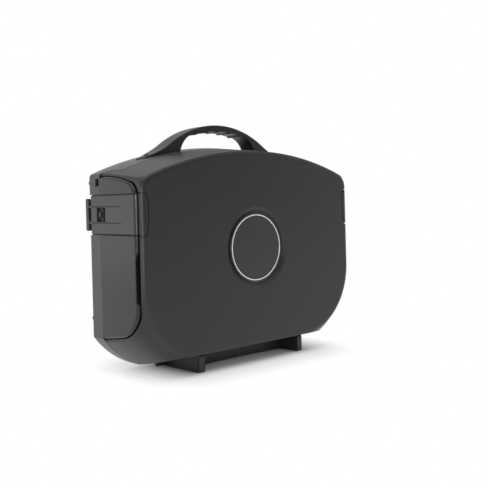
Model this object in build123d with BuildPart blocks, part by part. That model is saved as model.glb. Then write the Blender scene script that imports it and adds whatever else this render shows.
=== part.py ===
"""Hard-shell carry case with a screen in its lid, standing closed on two skids.

Millimetres. X runs along the front face, Y from the front to the rear, Z up from the floor.
Depths are counted from the seam where the lid meets the side wings, and depth() turns
one into a model Y, so that the case stands centred on the origin.
"""

import os
from math import atan2, cos, pi, sin, sqrt

from build123d import *

# Screen panel that the case is built round
SCREEN_W = 425.0
SCREEN_H = 250.0
SCREEN_T = 8.6
SCREEN_FRAME = 0.8
SCREEN_FOOT = 81.0  # height of the panel's lower edge
SIDE_ROOM = 37.5  # from the panel's edge to the flat side of the wings
TOP_ROOM = 47.5  # from the panel's top edge to the crown of the arch
VIEW_MARGIN = (7.5, 9.5)  # frame of the panel that the bezel covers

# Overall form
LID_INSET = 4.0  # the lid's sides lie this far inside the wings
FACE_DEPTH = 9.0  # front face ahead of the seam
PARTING = 107.0  # seam between the lid's cheeks and the base
REAR = 142.0  # rear face of the base
ARCH_R = 640.0
ARCH_RISE = 11.5  # the arch climbs this much from the seam to the parting
TOP_CORNER_R = 28.0
CHEEK_R = 126.0  # big lower corners
EDGE_R = 8.0  # soft edge round the flat front face
CHEEK_CURVE = ((0.0, -9.0), (12.6, 0.0), (23.3, 12.0), (36.7, 50.0), (42.7, 107.0))  # (flare, depth)
BOTTOM_FRONT = 33.5  # height of the sloping underside at the seam
BOTTOM_REAR = 10.5  # and at the parting
REAR_EDGE_R = 5.0
SHOULDER_R = 6.0  # edge between the arched top and the flat sides

# Walls and clearances
WALL = 3.5
FACE_WALL = 4.0
SEAM_GAP = 4.0  # open seam between lid and wings
PART_GAP = 2.0  # parting line all round
WING_GAP = 1.2  # line over and under a wing
BAND_GAP = 2.5  # line ahead of the top band
FIT = 0.4  # running clearance
SEAT = 0.1  # clearance of a seated piece
PANEL_GAP = 1.8  # line round a flush plate

# Hinge at the bottom edge
HINGE_Y = 107.2
HINGE_Z = 5.0
BARREL_R = 4.5
PIN_R = 2.0

# Skids and the bar between them
SKID_X = 119.5
SKID_W = 11.5
SKID_FRONT = 8.5
SKID_TOE_R = 5.0
SKID_LIP = 4.0
SKID_GROOVE = 1.6
SKID_SCREWS = (30.0, 84.0)
LEAF_SCREWS = (9.5, 16.0)
BAR_SCREW_X = 80.0
LEAF_W = 16.0
LEAF_T = 3.0
LEAF_LENGTH = 20.0
BAR_FRONT = 52.0
BAR_T = 8.0
BAR_ARCH = 2.4  # the bar's lower edge lifts this much at mid span
BAR_CLEAR = 0.6

# Side wings of the base
WING_T = 14.0
WING_SKIN = 3.0
WING_RIM = 4.0
WING_FRONT = 4.0
WING_LEDGE = 2.6  # the wing's top stays this far under the shoulder
WING_TOP_CORNER = 32.0
WING_CUT_CORNER = 24.0  # sharper corner of the opening in the lid
WING_FRONT_RIM = 16.0
CURTAIN_T = 2.0  # wall of the lid behind the open seam
WING_LOW_CORNER = 58.0
WING_LOW_SLOPE = 0.146
WING_EDGE_R = 5.0
GRIP_DROP = 24.6  # finger notch in the wing's front edge, this far under the latch
GRIP_LENGTH = 86.0
GRIP_DEPTH = 4.0
FLANGE_T = 3.6
FLANGE_LAP = 21.0
FLANGE_MARGIN = (19.6, 11.6)  # above the wing's lower edge and under the latch
FLANGE_SCREWS = 3

# Slot for a strap in each side of the base
SLOT_Y = (110.0, 120.5)
SLOT_H = 12.5
SLOT_DROP = 1.0  # middle of the slot under the shoulder

# Side latches
LATCH_DROP = 22.0  # top of the latch under the shoulder
LATCH_LENGTH = 66.0
LATCH_T = 5.4
LATCH_BARREL_R = 6.0
LATCH_END = 139.5
STRIKE_W = 11.0  # from the lid's side to the strike plate's inner edge
STRIKE_T = 2.2
STRIKE_CORNER = 11.0
STRIKE_CHAMFER = (5.0, 15.0)
WINDOW_Y = (92.0, 118.0)
WINDOW_H = 24.0
WINDOW_WELL = 6.0  # dark well behind the window
TONGUE_START = 44.6
TONGUE_LINE = 1.4
TONGUE_DEPTH = 1.5
TONGUE_PITCH = 27.0
STUD_R = 1.7
PIN_SEAT = 6.0
PULL_Y = (144.5, 153.5)
PULL_H = 55.0
PULL_CORNER = 3.0
PULL_RIB = 4.0
LATCH_EDGE = 0.8
KEEPER_Y = (109.4, 115.6)
KEEPER_H = 10.0
KEEPER_RISE = 4.0

# Carrying handle on the base's top band
BAND_FRONT = 75.0
BAND_INSET = 24.0  # the band's front corners lie this far inside the sides
BAND_FLARE = 14.0  # the band widens to the rear
HANDLE_W = 36.0
HANDLE_RISE = 53.0  # top of the handle above the crown
HANDLE_R = 195.0
HANDLE_GRIP = 11.5  # thickness at the top
HANDLE_INNER = 92.0  # half width of the hand opening
HANDLE_INNER_R = 42.0
HANDLE_GRIP_R = 245.0  # bow of the underside
HANDLE_FAIR_X = 112.0  # the fairing leaves the bow here
HANDLE_FOOT = 176.0  # half length over the feet
HANDLE_TAIL = 128.0  # the feet narrow to a tail from here
HANDLE_FOOT_T = 1.5
HANDLE_EDGE = 1.0
HANDLE_POST = 8.0
FINGER_PITCH = 28.0
FINGER_R = 5.5
FINGER_BITE = 2.0
HANDLE_SCREW_X = 110.0
HANDLE_SCREW_Y = 9.0
TAIL_SCREW_X = 153.0
TAIL_FLOOR = 1.2  # under the head of a tail screw

# Round emblem seat on the front face
EMBLEM_Z = 206.0
EMBLEM_RIM_R = 72.0
EMBLEM_SEAT_R = 65.5
EMBLEM_CONE = 4.5  # depth of the dished rim
EMBLEM_DEPTH = 5.6  # and of the groove round the disc
DISC_R = 62.0
DISC_T = 2.6
RING_R = 57.8
RING_W = 1.8
RING_T = 1.0
RING_PROUD = 0.3
EMBLEM_BACK = 0.5

# Screen and what goes with it, inside the lid
BEZEL_INSET = 17.0
BEZEL_Y = 14.5
BEZEL_T = 3.0
BEZEL_DROP = 5.5
BEZEL_LOW = 37.0
BEZEL_LOW_R = 134.0
SPEAKER_X = 96.0
SPEAKER_Z = 58.0
SPEAKER_W = 66.0
SPEAKER_H = 26.0
SPEAKER_T = 10.0
GRILLE_T = 2.0
GRILLE_SLOTS = 9
BUTTON_PITCH = 17.0
BUTTON_R = 4.6
BUTTON_RISE = 1.6
BUTTON_FLANGE = 1.4
BOARD_W = 110.0
BOARD_H = 84.0
BOARD_T = 1.6
BOARD_X = 146.0
BOARD_Y = -1.2
CHIPS = ((-30.0, 10.0), (0.0, -18.0), (28.0, 14.0))
CHIP_W = 14.0
CHIP_T = 2.0
KEYS_Y = 7.6
KEY_T = 1.8
BOSS_R = 4.5
CROWN_SCREWS = ((70.0, 23.5), (180.0, 37.5))  # X, and height under the crown
SIDE_SCREW_INSET = 28.0
SIDE_SCREWS = (160.0, 290.0)
FOOT_SCREW = (170.0, 15.0)  # X, and height under the panel
SCREEN_POST = (22.5, 30.0)  # in from the panel's corners
BUTTONS = ("power_button", "source_button", "menu_button", "volume_down_button", "volume_up_button")

# Console bay of the base
LINER_T = 3.0
LINER_INSET = 12.0
RIB_H = 1.2
RIB_X = (-190.0, -95.0, 0.0, 95.0, 190.0)
RIB_LENGTH = 200.0
PAD = (34.0, 58.0, 46.0)  # width, depth and height of a foam block
PAD_INSET = 72.0  # middle of a block from the flat side
PAD_LOW = 112.0
PAD_DROP = 78.5  # upper blocks under the crown
SUPPLY = (150.0, 20.0, 38.0)
SUPPLY_Z = 44.0
SUPPLY_VENT = 4.0
SUPPLY_VENTS = 7
INLET = (28.0, 16.0, 22.0)
INLET_PIN = 5.0
BUMPER_R = 6.0
BUMPER_END = 154.5
BUMPER_INSET = 13.5
BUMPER_LOW = 95.0
BUMPER_DROP = 0.7  # upper bumpers under the shoulder

# Fasteners
SCREW_R = 1.6
SCREW_HEAD_R = 3.2
SCREW_HEAD = 2.0
SCREW_LENGTH = 9.0

SEAM_Y = (FACE_DEPTH - BUMPER_END) / 2
SCREEN_Z = SCREEN_FOOT + SCREEN_H / 2
VIEW_W = SCREEN_W - VIEW_MARGIN[0] * 2
VIEW_H = SCREEN_H - VIEW_MARGIN[1] * 2
HALF_WIDTH = SCREEN_W / 2 + SIDE_ROOM
LID_HALF = HALF_WIDTH - LID_INSET
APEX = SCREEN_FOOT + SCREEN_H + TOP_ROOM
ARCH_Z = APEX - ARCH_R
SHOULDER = ARCH_Z + sqrt(ARCH_R**2 - HALF_WIDTH**2)
CHEEK_X = LID_HALF - CHEEK_R
CHEEK_Z = BOTTOM_FRONT + CHEEK_R
CORNER_X = LID_HALF - TOP_CORNER_R
CORNER_Z = ARCH_Z + sqrt((ARCH_R - TOP_CORNER_R) ** 2 - CORNER_X**2)
UNDER_SLOPE = (BOTTOM_REAR - BOTTOM_FRONT) / PARTING
CHEEK_END_R = CHEEK_R - EDGE_R + CHEEK_CURVE[-1][0]
LID_END = PARTING - PART_GAP / 2
BASE_START = PARTING + PART_GAP / 2
LID_SEAM = WING_FRONT - SEAM_GAP
HIP = CHEEK_Z - sqrt(CHEEK_END_R**2 - (HALF_WIDTH - CHEEK_X) ** 2)
WING_TOP_R = SHOULDER + ARCH_RISE - WING_LEDGE - HINGE_Z
WING_LOW = HIP - WING_GAP / 2  # lower edge at the parting
LATCH_HIGH = SHOULDER - LATCH_DROP
LATCH_LOW = LATCH_HIGH - LATCH_LENGTH
LATCH_MID = (LATCH_HIGH + LATCH_LOW) / 2
TONGUE_Z = (LATCH_MID - TONGUE_PITCH / 2, LATCH_MID + TONGUE_PITCH / 2)
GRIP_HIGH = LATCH_LOW - GRIP_DROP
GRIP_LOW = GRIP_HIGH - GRIP_LENGTH
FLANGE_Z = (WING_LOW + FLANGE_MARGIN[0], LATCH_LOW - FLANGE_MARGIN[1])
PIN_X = HALF_WIDTH - LATCH_BARREL_R
PIN_Y = WING_FRONT + LATCH_BARREL_R
STRIKE_X = LID_HALF - STRIKE_W
HANDLE_Y = PARTING
HANDLE_TOP = APEX + HANDLE_RISE
BAND_HALF = HALF_WIDTH - BAND_INSET
BEZEL_HALF = HALF_WIDTH - BEZEL_INSET
BEZEL_TOP = APEX - BEZEL_DROP
PAD_X = HALF_WIDTH - PAD_INSET
PAD_Z = (PAD_LOW, APEX - PAD_DROP)
BUMPER_X = HALF_WIDTH - BUMPER_INSET
BUMPER_Z = (BUMPER_LOW, SHOULDER - BUMPER_DROP)


def depth(y):
    """Model Y of a depth counted from the seam."""
    return y + SEAM_Y


def front_plane(y):
    """Upright plane across the case at a depth, with X across and Z up."""
    return Plane.XZ.offset(-depth(y))


def side_plane(x):
    """Upright plane along the case at an X, with depth across and Z up."""
    return Plane(origin=(x, SEAM_Y, 0), x_dir=(0, 1, 0), z_dir=(1, 0, 0))


def plan_plane(z):
    """Level plane at a height, with X across and depth up the page."""
    return Plane(origin=(0, SEAM_Y, z))


def underside(y):
    """Height of the sloping underside at a depth."""
    return BOTTOM_FRONT + UNDER_SLOPE * y


def arch_height(x, y, drop=0.0):
    """Height of the arched top at a place."""
    r = ARCH_R + ARCH_RISE * y / PARTING - drop
    return ARCH_Z + sqrt(r * r - x * x)


def on_circle(centre, radius, angle):
    """Point of a circle."""
    return (centre[0] + radius * cos(angle), centre[1] + radius * sin(angle))


def face_path():
    """Outline of the flat front face, along which its soft edge is swept."""
    low = CHEEK_R - EDGE_R
    corner = TOP_CORNER_R - EDGE_R
    reach = (ARCH_R - EDGE_R) / (ARCH_R - TOP_CORNER_R)
    top = (CORNER_X * reach, ARCH_Z + (CORNER_Z - ARCH_Z) * reach)
    turn = atan2(top[1] - CORNER_Z, top[0] - CORNER_X)
    mid = on_circle((CORNER_X, CORNER_Z), corner, turn / 2)
    cheek = on_circle((CHEEK_X, CHEEK_Z), low, -pi / 4)
    side = LID_HALF - EDGE_R
    foot = CHEEK_Z - low
    with BuildLine(front_plane(-FACE_DEPTH)) as path:
        Line((0, foot), (CHEEK_X, foot))
        ThreePointArc((CHEEK_X, foot), cheek, (side, CHEEK_Z))
        Line((side, CHEEK_Z), (side, CORNER_Z))
        ThreePointArc((side, CORNER_Z), mid, top)
        ThreePointArc(top, (0, ARCH_Z + ARCH_R - EDGE_R), (-top[0], top[1]))
        ThreePointArc((-top[0], top[1]), (-mid[0], mid[1]), (-side, CORNER_Z))
        Line((-side, CORNER_Z), (-side, CHEEK_Z))
        ThreePointArc((-side, CHEEK_Z), (-cheek[0], cheek[1]), (-CHEEK_X, foot))
        Line((-CHEEK_X, foot), (0, foot))
    return path.wires()[0]


def soft_shoulder(section, wall):
    """Rounds the two corners of a section where the arched top meets the flat sides."""
    if wall < SHOULDER_R:
        corners = section.vertices().sort_by(lambda v: abs(v.X) * HALF_WIDTH + v.Y)[-2:]
        fillet(corners, SHOULDER_R - wall)


def lid_form(wall, face_wall, end):
    """Full form of the lid's outer surface, moved in by a wall, back to a depth.

    The arch is pushed forward along its own slope, the underside is a sloping plane, and
    the soft edge that opens out into the two cheeks is one profile swept round the face.
    """
    half = LID_HALF - wall
    start = -FACE_DEPTH + face_wall
    arch_r = ARCH_R + ARCH_RISE * end / PARTING - wall
    shoulder = ARCH_Z + sqrt(arch_r**2 - half**2)
    climb = ARCH_RISE / PARTING
    with BuildPart() as form:
        with BuildSketch(front_plane(end)) as section:
            with BuildLine():
                ThreePointArc((-half, shoulder), (0, ARCH_Z + arch_r), (half, shoulder))
                Polyline((half, shoulder), (half, 0), (-half, 0), (-half, shoulder))
            make_face()
            soft_shoulder(section, wall)
        extrude(amount=(end - start) * sqrt(1 + climb**2), dir=(0, -1, -climb))
        with BuildSketch(Plane.YZ):
            with BuildLine():
                near, far = start - FACE_DEPTH, end + FACE_DEPTH
                Polyline(
                    (depth(near), underside(near) + wall),
                    (depth(far), underside(far) + wall),
                    (depth(far), -HALF_WIDTH),
                    (depth(near), -HALF_WIDTH),
                    close=True,
                )
            make_face()
        extrude(amount=HALF_WIDTH * 2, both=True, mode=Mode.SUBTRACT)
    across = Plane(
        origin=(0, depth(-FACE_DEPTH), CHEEK_Z - CHEEK_R + EDGE_R), x_dir=(0, 0, -1), z_dir=(1, 0, 0)
    )
    points = [(flare - wall, y + FACE_DEPTH + face_wall) for flare, y in CHEEK_CURVE]
    first, last = points[0], points[-1]
    outside = EDGE_R + HALF_WIDTH / 3
    with BuildPart() as trim:
        with BuildSketch(across):
            with BuildLine():
                Spline(*points, tangents=[(1, 0), (0.06, 1)])
                Polyline(
                    last,
                    (last[0], last[1] + REAR),
                    (outside, last[1] + REAR),
                    (outside, -FACE_DEPTH),
                    (first[0], -FACE_DEPTH),
                    first,
                )
            make_face()
        sweep(path=face_path())
    return form.part - trim.part


def rim_face(y, wall):
    """Outline of the base's rim at a depth, moved in by a wall."""
    half = HALF_WIDTH - wall
    low_r = CHEEK_END_R - wall
    floor = BOTTOM_REAR + wall
    arch_r = ARCH_R + ARCH_RISE - wall
    shoulder = ARCH_Z + sqrt(arch_r**2 - half**2)
    hip = CHEEK_Z - sqrt(low_r**2 - (half - CHEEK_X) ** 2)
    toe = CHEEK_X + sqrt(low_r**2 - (CHEEK_Z - floor) ** 2)
    turn = (atan2(hip - CHEEK_Z, half - CHEEK_X) + atan2(floor - CHEEK_Z, toe - CHEEK_X)) / 2
    cheek = on_circle((CHEEK_X, CHEEK_Z), low_r, turn)
    with BuildSketch(front_plane(y)) as face:
        with BuildLine():
            ThreePointArc((-half, shoulder), (0, ARCH_Z + arch_r), (half, shoulder))
            Line((half, shoulder), (half, hip))
            ThreePointArc((half, hip), cheek, (toe, floor))
            Line((toe, floor), (-toe, floor))
            ThreePointArc((-toe, floor), (-cheek[0], cheek[1]), (-half, hip))
            Line((-half, hip), (-half, shoulder))
        make_face()
        soft_shoulder(face, wall)
    return face.sketch


def wing_face(x, grow, corner, front, rear):
    """Outline of a side wing at a distance from the middle, grown all round by a gap."""
    top_r = WING_TOP_R + grow
    top_c = (front + corner, HINGE_Z + sqrt((top_r - corner) ** 2 - (front + corner - HINGE_Y) ** 2))
    reach = top_r / (top_r - corner)
    top_a = (HINGE_Y + (top_c[0] - HINGE_Y) * reach, HINGE_Z + (top_c[1] - HINGE_Z) * reach)
    turn = atan2(top_a[1] - top_c[1], top_a[0] - top_c[0])
    top_m = on_circle(top_c, corner, (turn + pi) / 2)
    crest = (rear, HINGE_Z + sqrt(top_r**2 - (rear - HINGE_Y) ** 2))
    lean = sqrt(1 + WING_LOW_SLOPE**2)
    level = WING_LOW - grow + WING_LOW_SLOPE * PARTING
    low_r = WING_LOW_CORNER
    low_c = (front + low_r, level - WING_LOW_SLOPE * (front + low_r) + low_r * lean)
    low_a = (low_c[0] - low_r * WING_LOW_SLOPE / lean, low_c[1] - low_r / lean)
    turn = atan2(low_a[1] - low_c[1], low_a[0] - low_c[0])
    low_m = on_circle(low_c, low_r, (turn - pi) / 2)
    with BuildSketch(side_plane(x)) as face:
        with BuildLine():
            ThreePointArc(crest, on_circle((HINGE_Y, HINGE_Z), top_r, mid_turn(crest, top_a)), top_a)
            ThreePointArc(top_a, top_m, (front, top_c[1]))
            Line((front, top_c[1]), (front, low_c[1]))
            ThreePointArc((front, low_c[1]), low_m, low_a)
            Polyline(low_a, (rear, level - WING_LOW_SLOPE * rear), crest)
        make_face()
    return face.sketch


def mid_turn(a, b):
    """Angle half way between two points seen from the hinge."""
    first = atan2(a[1] - HINGE_Z, a[0] - HINGE_Y)
    second = atan2(b[1] - HINGE_Z, b[0] - HINGE_Y)
    return (first + second) / 2


def band_face(z, gap):
    """Plan of the base's top band at a height, drawn in by a gap."""
    half = BAND_HALF - gap
    wide = half + BAND_FLARE
    with BuildSketch(plan_plane(z)) as face:
        with BuildLine():
            Polyline(
                (-half, BAND_FRONT + gap),
                (half, BAND_FRONT + gap),
                (wide, PARTING),
                (wide, REAR),
                (-wide, REAR),
                (-wide, PARTING),
                close=True,
            )
        make_face()
    return face.sketch


def strike_face(y, grow):
    """Outline of the right strike plate, grown by a gap, on a plane across the case."""
    inner = STRIKE_X - grow
    low = LATCH_LOW - grow
    high = LATCH_HIGH + grow
    outer = HALF_WIDTH + EDGE_R
    with BuildSketch(front_plane(y)) as face:
        with BuildLine():
            Polyline(
                (inner + STRIKE_CORNER, high),
                (outer, high),
                (outer, low),
                (inner + STRIKE_CHAMFER[0], low),
                (inner, low + STRIKE_CHAMFER[1]),
                (inner, high - STRIKE_CORNER),
            )
            RadiusArc((inner, high - STRIKE_CORNER), (inner + STRIKE_CORNER, high), STRIKE_CORNER)
        make_face()
    return face.sketch


def rods(places, radius, near, far):
    """Round bars from front to rear at (X, Z) places, between two depths."""
    with BuildPart() as group:
        with BuildSketch(front_plane(far)):
            with Locations(*places):
                Circle(radius)
        extrude(amount=far - near)
    return group.part


def cross_rods(places, radius, left, right):
    """Round bars across the case at (depth, Z) places, between two X."""
    with BuildPart() as group:
        with BuildSketch(side_plane(left)):
            with Locations(*places):
                Circle(radius)
        extrude(amount=right - left)
    return group.part


def pillars(places, radius, low, high):
    """Upright round bars at (X, depth) places, between two heights."""
    with BuildPart() as group:
        with BuildSketch(plan_plane(low)):
            with Locations(*places):
                Circle(radius)
        extrude(amount=high - low)
    return group.part


def block(x, y, z):
    """Block between two X, two depths and two heights."""
    with BuildPart() as body:
        with Locations(((x[0] + x[1]) / 2, depth((y[0] + y[1]) / 2), (z[0] + z[1]) / 2)):
            Box(x[1] - x[0], y[1] - y[0], z[1] - z[0])
    return body.part


def both_sides(part):
    """A piece together with its mirror image on the other side of the case."""
    return part + mirror(part, about=Plane.YZ, mode=Mode.PRIVATE)


# Places of the fasteners
bezel_screw_places = [(x, APEX - drop) for x, drop in CROWN_SCREWS]
bezel_screw_places += [(HALF_WIDTH - SIDE_SCREW_INSET, z) for z in SIDE_SCREWS]
bezel_screw_places += [(FOOT_SCREW[0], SCREEN_FOOT - FOOT_SCREW[1])]
bezel_places = [(sx * x, z) for x, z in bezel_screw_places for sx in (-1, 1)]
post_x = SCREEN_W / 2 - SCREEN_POST[0]
post_rise = SCREEN_H / 2 - SCREEN_POST[1]
screen_posts = [(sx * post_x, SCREEN_Z + sz * post_rise) for sx in (-1, 1) for sz in (-1, 1)]
skid_places = [(sx * SKID_X, y) for y in SKID_SCREWS for sx in (-1, 1)]
skid_places += [(sx * BAR_SCREW_X, BAR_FRONT + BAR_T / 2) for sx in (-1, 1)]
handle_places = [
    (sx * HANDLE_SCREW_X, HANDLE_Y + sy * HANDLE_SCREW_Y) for sx in (-1, 1) for sy in (-1, 1)
]
tail_places = [(sx * TAIL_SCREW_X, HANDLE_Y) for sx in (-1, 1)]
leaf_x = SKID_X + SKID_W / 2 + PART_GAP + LEAF_W / 2
leaf_places = [(sx * leaf_x, HINGE_Y + y) for y in LEAF_SCREWS for sx in (-1, 1)]
flange_pitch = (FLANGE_Z[1] - FLANGE_Z[0]) / FLANGE_SCREWS
wing_places = [
    (BASE_START + FLANGE_LAP / 2, FLANGE_Z[0] + flange_pitch * (n + 0.5)) for n in range(FLANGE_SCREWS)
]
board_places = [
    (BOARD_X + sx * (BOARD_W / 2 - BOSS_R), SCREEN_Z + sz * (BOARD_H / 2 - BOSS_R))
    for sx in (-1, 1)
    for sz in (-1, 1)
]
button_x = [BUTTON_PITCH * n for n in (-2, -1, 0, 1, 2)]
speaker_places = [(sx * SPEAKER_X, SPEAKER_Z) for sx in (-1, 1)]
bumper_places = [(sx * BUMPER_X, z) for sx in (-1, 1) for z in BUMPER_Z]

# Shared forms
face_inside = FACE_WALL - FACE_DEPTH
lid_outer = lid_form(0, 0, LID_END)
wing_rear = PARTING + SEAT
pocket_floor = HALF_WIDTH - LATCH_T - FIT
pocket_z = (LATCH_LOW - PANEL_GAP / 2, LATCH_HIGH + PANEL_GAP / 2)
latch_pocket = block((pocket_floor, HALF_WIDTH + EDGE_R), (PIN_Y, REAR + EDGE_R), pocket_z)
latch_pocket += block((PIN_X, HALF_WIDTH + EDGE_R), (-EDGE_R, PIN_Y), pocket_z)
latch_pocket += pillars([(PIN_X, PIN_Y)], LATCH_BARREL_R + FIT, *pocket_z)
wing_opening = extrude(
    wing_face(HALF_WIDTH - WING_T - FIT, WING_GAP, WING_CUT_CORNER, LID_SEAM, LID_END + PART_GAP),
    amount=WING_T + EDGE_R,
)
curtain_x = HALF_WIDTH - WING_T - FIT
curtain = block(
    (curtain_x - CURTAIN_T, curtain_x + CURTAIN_T), (-FACE_DEPTH, BEZEL_Y - SEAT), (0, APEX)
)
curtain = curtain & lid_form(WALL / 2, FACE_WALL / 2, LID_END)
strike_pocket = extrude(strike_face(LID_SEAM + FIT, PANEL_GAP), amount=FACE_DEPTH * 2)
strike_pocket = strike_pocket - lid_form(STRIKE_T + SEAT, STRIKE_T + SEAT, LID_END)

with BuildPart() as lid_shell:
    add(lid_outer)
    add(lid_form(WALL, FACE_WALL, LID_END + PART_GAP), mode=Mode.SUBTRACT)
    extrude(band_face(LATCH_HIGH + EDGE_R, 0), amount=HALF_WIDTH, mode=Mode.SUBTRACT)
    add(both_sides(curtain))
    add(both_sides(wing_opening), mode=Mode.SUBTRACT)
    add(both_sides(strike_pocket), mode=Mode.SUBTRACT)
    # dished seat of the emblem, with a boss behind it
    add(rods([(0, EMBLEM_Z)], EMBLEM_RIM_R + WALL, face_inside, EMBLEM_BACK))
    with BuildSketch(Plane(origin=(0, SEAM_Y, EMBLEM_Z), x_dir=(1, 0, 0), z_dir=(0, 0, 1))):
        with BuildLine():
            cone_lean = (EMBLEM_RIM_R - EMBLEM_SEAT_R) / EMBLEM_CONE
            Polyline(
                (0, -FACE_DEPTH - EDGE_R),
                (EMBLEM_RIM_R + EDGE_R * cone_lean, -FACE_DEPTH - EDGE_R),
                (EMBLEM_SEAT_R, EMBLEM_CONE - FACE_DEPTH),
                (EMBLEM_SEAT_R, EMBLEM_DEPTH - FACE_DEPTH),
                (0, EMBLEM_DEPTH - FACE_DEPTH),
                close=True,
            )
        make_face()
    revolve(axis=Axis((0, 0, EMBLEM_Z), (0, 1, 0)), mode=Mode.SUBTRACT)
    # posts for the bezel, the boards and the screen
    add(rods(bezel_places, BOSS_R, face_inside - SEAT, BEZEL_Y))
    add(rods(board_places, BOSS_R, face_inside - SEAT, BOARD_Y))
    key_places = [(sx * BUTTON_PITCH * 2.6, SPEAKER_Z) for sx in (-1, 1)]
    add(rods(key_places, BOSS_R, face_inside - SEAT, KEYS_Y))
    add(rods(screen_posts, BOSS_R, face_inside - SEAT, BEZEL_Y - SCREEN_T - SEAT * 2))
    add(rods(bezel_places, SCREW_R + SEAT, BEZEL_Y - SCREW_LENGTH, BEZEL_Y), mode=Mode.SUBTRACT)
    add(pillars(skid_places, SCREW_R + SEAT, 0, BOTTOM_FRONT + EDGE_R), mode=Mode.SUBTRACT)

seat_y = EMBLEM_DEPTH - FACE_DEPTH - SEAT - DISC_T
with BuildPart() as emblem_disc:
    with BuildSketch(front_plane(seat_y + DISC_T)):
        with Locations((0, EMBLEM_Z)):
            Circle(DISC_R)
    extrude(amount=DISC_T)
    with BuildSketch(front_plane(seat_y)):
        with Locations((0, EMBLEM_Z)):
            Circle(RING_R + RING_W / 2 + SEAT)
            Circle(RING_R - RING_W / 2 - SEAT, mode=Mode.SUBTRACT)
    extrude(amount=-(RING_T - RING_PROUD), mode=Mode.SUBTRACT)

with BuildPart() as emblem_ring:
    with BuildSketch(front_plane(seat_y + RING_T - RING_PROUD)):
        with Locations((0, EMBLEM_Z)):
            Circle(RING_R + RING_W / 2)
            Circle(RING_R - RING_W / 2, mode=Mode.SUBTRACT)
    extrude(amount=RING_T)
    chamfer(emblem_ring.faces().sort_by(Axis.Y)[0].edges(), RING_PROUD)

with BuildPart() as right_strike_plate:
    extrude(strike_face(LID_SEAM, 0), amount=FACE_DEPTH * 2)
    add(lid_outer, mode=Mode.INTERSECT)
    add(lid_form(STRIKE_T, STRIKE_T, LID_END), mode=Mode.SUBTRACT)

with BuildPart() as left_strike_plate:
    mirror(right_strike_plate.part, about=Plane.YZ)

with BuildPart() as display_bezel:
    with BuildSketch(front_plane(BEZEL_Y + BEZEL_T)):
        with BuildLine():
            arch_r = BEZEL_TOP - ARCH_Z
            shoulder = ARCH_Z + sqrt(arch_r**2 - BEZEL_HALF**2)
            hip = CHEEK_Z - sqrt(BEZEL_LOW_R**2 - (BEZEL_HALF - CHEEK_X) ** 2)
            toe = CHEEK_X + sqrt(BEZEL_LOW_R**2 - (CHEEK_Z - BEZEL_LOW) ** 2)
            cheek = on_circle((CHEEK_X, CHEEK_Z), BEZEL_LOW_R, -pi / 4)
            ThreePointArc((-BEZEL_HALF, shoulder), (0, BEZEL_TOP), (BEZEL_HALF, shoulder))
            Line((BEZEL_HALF, shoulder), (BEZEL_HALF, hip))
            ThreePointArc((BEZEL_HALF, hip), cheek, (toe, BEZEL_LOW))
            Line((toe, BEZEL_LOW), (-toe, BEZEL_LOW))
            ThreePointArc((-toe, BEZEL_LOW), (-cheek[0], cheek[1]), (-BEZEL_HALF, hip))
            Line((-BEZEL_HALF, hip), (-BEZEL_HALF, shoulder))
        make_face()
        with Locations((0, SCREEN_Z)):
            Rectangle(VIEW_W, VIEW_H, mode=Mode.SUBTRACT)
        with Locations(*speaker_places):
            RectangleRounded(SPEAKER_W, SPEAKER_H, SPEAKER_H / 3, mode=Mode.SUBTRACT)
        with Locations(*[(x, SPEAKER_Z) for x in button_x]):
            Circle(BUTTON_R + FIT, mode=Mode.SUBTRACT)
        with Locations(*bezel_places):
            Circle(SCREW_R + SEAT, mode=Mode.SUBTRACT)
    extrude(amount=BEZEL_T)
    window = display_bezel.faces().sort_by(Axis.Y)[-1].edges().filter_by(GeomType.LINE)
    window = window.filter_by(lambda e: abs(e.length - VIEW_W) < FIT or abs(e.length - VIEW_H) < FIT)
    chamfer(window, BEZEL_T / 2)

with BuildPart() as display_panel:
    with Locations((0, depth(BEZEL_Y - SEAT - SCREEN_T / 2), SCREEN_Z)):
        Box(SCREEN_W, SCREEN_T, SCREEN_H)
    chamfer(display_panel.faces().sort_by(Axis.Y)[0].edges(), SCREEN_T / 4)
    with Locations((0, depth(BEZEL_Y - SEAT), SCREEN_Z)):
        Box(VIEW_W + WALL, SCREEN_FRAME * 2, VIEW_H + WALL, mode=Mode.SUBTRACT)

with BuildPart() as display_board:
    with BuildSketch(front_plane(BOARD_Y + BOARD_T)):
        with Locations((BOARD_X, SCREEN_Z)):
            Rectangle(BOARD_W, BOARD_H)
        with Locations(*board_places):
            Circle(SCREW_R, mode=Mode.SUBTRACT)
    extrude(amount=BOARD_T)
    chip_y = depth(BOARD_Y + BOARD_T + CHIP_T / 2)
    with Locations(*[(BOARD_X + x, chip_y, SCREEN_Z + z) for x, z in CHIPS]):
        Box(CHIP_W, CHIP_T, CHIP_W)

with BuildPart() as key_board:
    with BuildSketch(front_plane(KEYS_Y + BOARD_T)):
        with Locations((0, SPEAKER_Z)):
            Rectangle(BUTTON_PITCH * 6, BUTTON_R * 4)
    extrude(amount=BOARD_T)
    with BuildSketch(front_plane(KEYS_Y + BOARD_T)):
        with Locations(*[(x, SPEAKER_Z) for x in button_x]):
            Circle(BUTTON_R / 2)
    extrude(amount=-KEY_T)

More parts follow.
